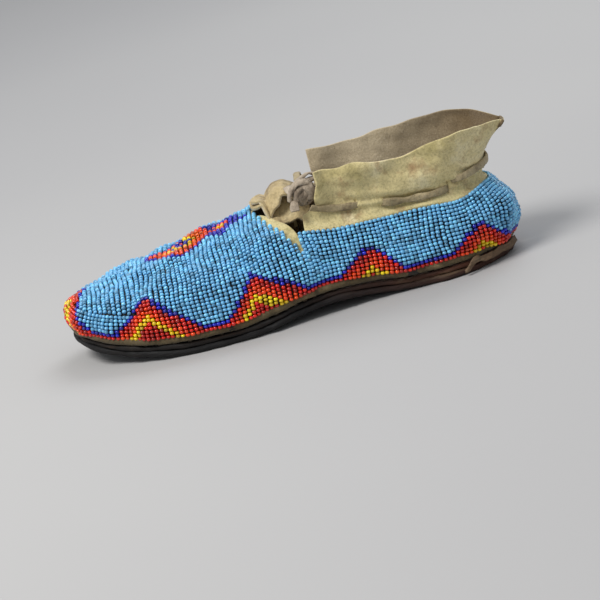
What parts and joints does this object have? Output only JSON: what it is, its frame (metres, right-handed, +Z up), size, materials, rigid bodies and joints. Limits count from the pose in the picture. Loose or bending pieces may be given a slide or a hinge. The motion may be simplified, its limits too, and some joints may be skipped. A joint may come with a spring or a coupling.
{
  "type": "moccasin",
  "caption": "Left hard-soled hide moccasin with a fully beaded upper, a laced ankle collar with fold-down flaps and a fold-over tongue.",
  "frame": {"origin": "centre of the moccasin's footprint box on the ground", "axes": "+Z up, toe towards -Y, heel towards +Y, +X towards the outer (lateral) side of the left foot"},
  "size_m": [0.091, 0.2437, 0.072],
  "materials": {
    "rawhide": "dark worn rawhide, rough, with a paler cut edge",
    "hide": "smoke-tanned hide, matt, tan",
    "collar_hide": "soft buckskin, matt, cream to olive tan with brown stains",
    "lace_hide": "suede thong, matt, grey tan",
    "sinew": "waxy twisted sinew thread",
    "blue_beads": "opaque glossy sky-blue glass seed beads sewn in lanes",
    "border_beads": "opaque glossy red, orange, yellow and dark blue glass seed beads sewn in lanes"
  },
  "bodies": {
    "root": {"outsole": "rawhide", "midsole": "rawhide", "welt": "rawhide", "loose_welt_end": "rawhide", "sole_hem": "hide", "sole_stitches": "sinew", "vamp": "hide", "lateral_quarter": "hide", "medial_quarter": "hide", "heel_seam_stitches": "sinew", "toe_border_beadwork": "border_beads", "vamp_beadwork": "blue_beads", "lateral_lower_beadwork": "border_beads", "lateral_upper_beadwork": "blue_beads", "medial_lower_beadwork": "border_beads", "medial_upper_beadwork": "blue_beads", "lateral_collar": "collar_hide", "medial_collar": "collar_hide", "collar_stitches": "sinew", "lateral_lace": "lace_hide", "medial_lace": "lace_hide", "heel_lace": "lace_hide", "lace_knot": "lace_hide", "lace_ends": "lace_hide"},
    "lateral_flap": {"lateral_ankle_flap": "collar_hide"},
    "medial_flap": {"medial_ankle_flap": "collar_hide"},
    "tongue_body": {"tongue": "collar_hide"}
  },
  "joints": [
    {"name": "lateral_flap_fold", "type": "hinge", "parent": "root", "child": "lateral_flap", "pos_m": [0.0277, 0.0255, 0.0532], "axis": [0, 0.9766, 0.2149], "range_deg": [0, 120]},
    {"name": "medial_flap_fold", "type": "hinge", "parent": "root", "child": "medial_flap", "pos_m": [-0.0277, 0.0255, 0.0532], "axis": [0, -0.9766, -0.2149], "range_deg": [0, 120]},
    {"name": "tongue_fold", "type": "hinge", "parent": "root", "child": "tongue_body", "pos_m": [-0.002, 0.002, 0.0575], "axis": [-1, 0, 0], "range_deg": [0, 20]}
  ]
}
